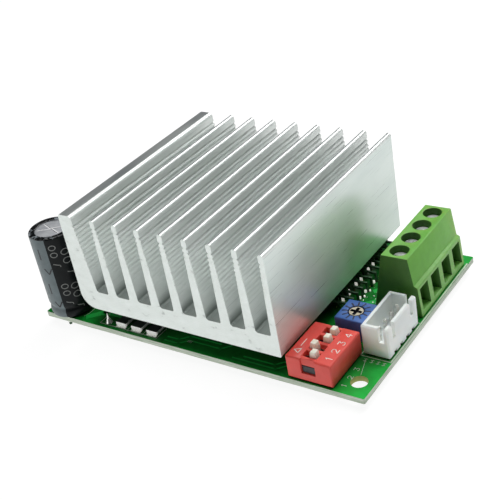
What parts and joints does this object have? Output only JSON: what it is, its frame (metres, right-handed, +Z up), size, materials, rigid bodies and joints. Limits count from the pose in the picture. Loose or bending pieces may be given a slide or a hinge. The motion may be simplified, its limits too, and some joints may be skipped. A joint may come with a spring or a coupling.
{
  "type": "stepper driver module",
  "caption": "Stepper motor driver board with a finned heat sink, slide switch, current trimmer, plug header, reservoir capacitor and screw terminal blocks.",
  "frame": {"origin": "centre of the bounding box in X and Y, on the surface that the trimmed lead ends stand on", "axes": "+X along the board from the capacitor end to the connector end, +Y from the switch edge to the back edge, +Z up from the board to the fin tips"},
  "size_m": [0.08, 0.0512, 0.0303],
  "materials": {
    "board_green": "solder-masked glass epoxy, satin gloss",
    "aluminium": "mill-finish extrusion with sawn ends",
    "can_aluminium": "drawn can, scored top",
    "chip_black": "moulded epoxy",
    "tinned_metal": "tin plated",
    "plated_steel": "nickel plated",
    "pad_grey": "soft silicone",
    "sleeve_black": "heat-shrunk sleeve with a pale grey stripe",
    "wound_foil": "wound paper and foil",
    "bung_rubber": "moulded rubber",
    "switch_red": "moulded, satin",
    "switch_dark": "moulded, satin",
    "slider_ivory": "moulded, satin",
    "header_white": "moulded nylon",
    "terminal_green": "moulded nylon, satin",
    "trimmer_blue": "moulded, satin",
    "rotor_cream": "moulded, satin",
    "resistor_black": "glazed ceramic with tinned ends"
  },
  "bodies": {
    "board_assembly": {"capacitor_bung": "bung_rubber", "capacitor_can": "can_aluminium", "capacitor_lead_minus": "tinned_metal", "capacitor_lead_plus": "tinned_metal", "capacitor_roll": "wound_foil", "capacitor_sleeve": "sleeve_black", "circuit_board": "board_green", "driver_chip": "chip_black", "driver_chip_leads": "tinned_metal", "header_housing": "header_white", "header_pin_1": "tinned_metal", "header_pin_2": "tinned_metal", "header_pin_3": "tinned_metal", "header_pin_4": "tinned_metal", "heat_sink": "aluminium", "output_blade_1": "tinned_metal", "output_blade_2": "tinned_metal", "output_blade_3": "tinned_metal", "output_blade_4": "tinned_metal", "output_housing": "terminal_green", "power_blade_1": "tinned_metal", "power_blade_2": "tinned_metal", "power_housing": "terminal_green", "sense_resistor_1": "resistor_black", "sense_resistor_2": "resistor_black", "sense_resistor_3": "resistor_black", "sink_screw_1": "plated_steel", "sink_screw_2": "plated_steel", "switch_base": "switch_dark", "switch_cover": "switch_red", "switch_pin_left_1": "tinned_metal", "switch_pin_left_2": "tinned_metal", "switch_pin_left_3": "tinned_metal", "switch_pin_left_4": "tinned_metal", "switch_pin_right_1": "tinned_metal", "switch_pin_right_2": "tinned_metal", "switch_pin_right_3": "tinned_metal", "switch_pin_right_4": "tinned_metal", "thermal_pad": "pad_grey", "trimmer_body": "trimmer_blue", "trimmer_pin_1": "tinned_metal", "trimmer_pin_2": "tinned_metal", "trimmer_pin_3": "tinned_metal"},
    "switch_slider_1": {"switch_slider_1": "slider_ivory"},
    "switch_slider_2": {"switch_slider_2": "slider_ivory"},
    "switch_slider_3": {"switch_slider_3": "slider_ivory"},
    "switch_slider_4": {"switch_slider_4": "slider_ivory"},
    "trimmer_rotor": {"trimmer_rotor": "rotor_cream"},
    "output_screw_1": {"output_screw_1": "plated_steel"},
    "output_cage_1": {"output_cage_1": "plated_steel"},
    "output_screw_2": {"output_screw_2": "plated_steel"},
    "output_cage_2": {"output_cage_2": "plated_steel"},
    "output_screw_3": {"output_screw_3": "plated_steel"},
    "output_cage_3": {"output_cage_3": "plated_steel"},
    "output_screw_4": {"output_screw_4": "plated_steel"},
    "output_cage_4": {"output_cage_4": "plated_steel"},
    "power_screw_1": {"power_screw_1": "plated_steel"},
    "power_cage_1": {"power_cage_1": "plated_steel"},
    "power_screw_2": {"power_screw_2": "plated_steel"},
    "power_cage_2": {"power_cage_2": "plated_steel"}
  },
  "joints": [
    {"name": "switch_slide_1", "type": "slide", "parent": "board_assembly", "child": "switch_slider_1", "axis": [1, 0, 0], "range_m": [-0.0014, 0]},
    {"name": "switch_slide_2", "type": "slide", "parent": "board_assembly", "child": "switch_slider_2", "axis": [1, 0, 0], "range_m": [0, 0.0014]},
    {"name": "switch_slide_3", "type": "slide", "parent": "board_assembly", "child": "switch_slider_3", "axis": [1, 0, 0], "range_m": [-0.0014, 0]},
    {"name": "switch_slide_4", "type": "slide", "parent": "board_assembly", "child": "switch_slider_4", "axis": [1, 0, 0], "range_m": [-0.0014, 0]},
    {"name": "trimmer_turn", "type": "hinge", "parent": "board_assembly", "child": "trimmer_rotor", "pos_m": [0.02945, -0.00654, 0.0079], "axis": [0, 0, 1], "range_deg": [-130, 130]},
    {"name": "output_turn_1", "type": "hinge", "parent": "board_assembly", "child": "output_screw_1", "pos_m": [0.03425, 0.00436, 0.015], "axis": [0, 0, -1], "range_deg": [0, 1800]},
    {"name": "output_clamp_1", "type": "slide", "parent": "board_assembly", "child": "output_cage_1", "axis": [0, 0, 1], "range_m": [0, 0.0025]},
    {"name": "output_turn_2", "type": "hinge", "parent": "board_assembly", "child": "output_screw_2", "pos_m": [0.03425, 0.00944, 0.015], "axis": [0, 0, -1], "range_deg": [0, 1800]},
    {"name": "output_clamp_2", "type": "slide", "parent": "board_assembly", "child": "output_cage_2", "axis": [0, 0, 1], "range_m": [0, 0.0025]},
    {"name": "output_turn_3", "type": "hinge", "parent": "board_assembly", "child": "output_screw_3", "pos_m": [0.03425, 0.01452, 0.015], "axis": [0, 0, -1], "range_deg": [0, 1800]},
    {"name": "output_clamp_3", "type": "slide", "parent": "board_assembly", "child": "output_cage_3", "axis": [0, 0, 1], "range_m": [0, 0.0025]},
    {"name": "output_turn_4", "type": "hinge", "parent": "board_assembly", "child": "output_screw_4", "pos_m": [0.03425, 0.0196, 0.015], "axis": [0, 0, -1], "range_deg": [0, 1800]},
    {"name": "output_clamp_4", "type": "slide", "parent": "board_assembly", "child": "output_cage_4", "axis": [0, 0, 1], "range_m": [0, 0.0025]},
    {"name": "power_turn_1", "type": "hinge", "parent": "board_assembly", "child": "power_screw_1", "pos_m": [-0.03425, 0.00812, 0.015], "axis": [0, 0, -1], "range_deg": [0, 1800]},
    {"name": "power_clamp_1", "type": "slide", "parent": "board_assembly", "child": "power_cage_1", "axis": [0, 0, 1], "range_m": [0, 0.0025]},
    {"name": "power_turn_2", "type": "hinge", "parent": "board_assembly", "child": "power_screw_2", "pos_m": [-0.03425, 0.00303, 0.015], "axis": [0, 0, -1], "range_deg": [0, 1800]},
    {"name": "power_clamp_2", "type": "slide", "parent": "board_assembly", "child": "power_cage_2", "axis": [0, 0, 1], "range_m": [0, 0.0025]}
  ],
  "couplings": [
    {"joint": "output_turn_1", "follows": "output_clamp_1", "rad_per_m": 12566},
    {"joint": "output_turn_2", "follows": "output_clamp_2", "rad_per_m": 12566},
    {"joint": "output_turn_3", "follows": "output_clamp_3", "rad_per_m": 12566},
    {"joint": "output_turn_4", "follows": "output_clamp_4", "rad_per_m": 12566},
    {"joint": "power_turn_1", "follows": "power_clamp_1", "rad_per_m": 12566},
    {"joint": "power_turn_2", "follows": "power_clamp_2", "rad_per_m": 12566}
  ]
}
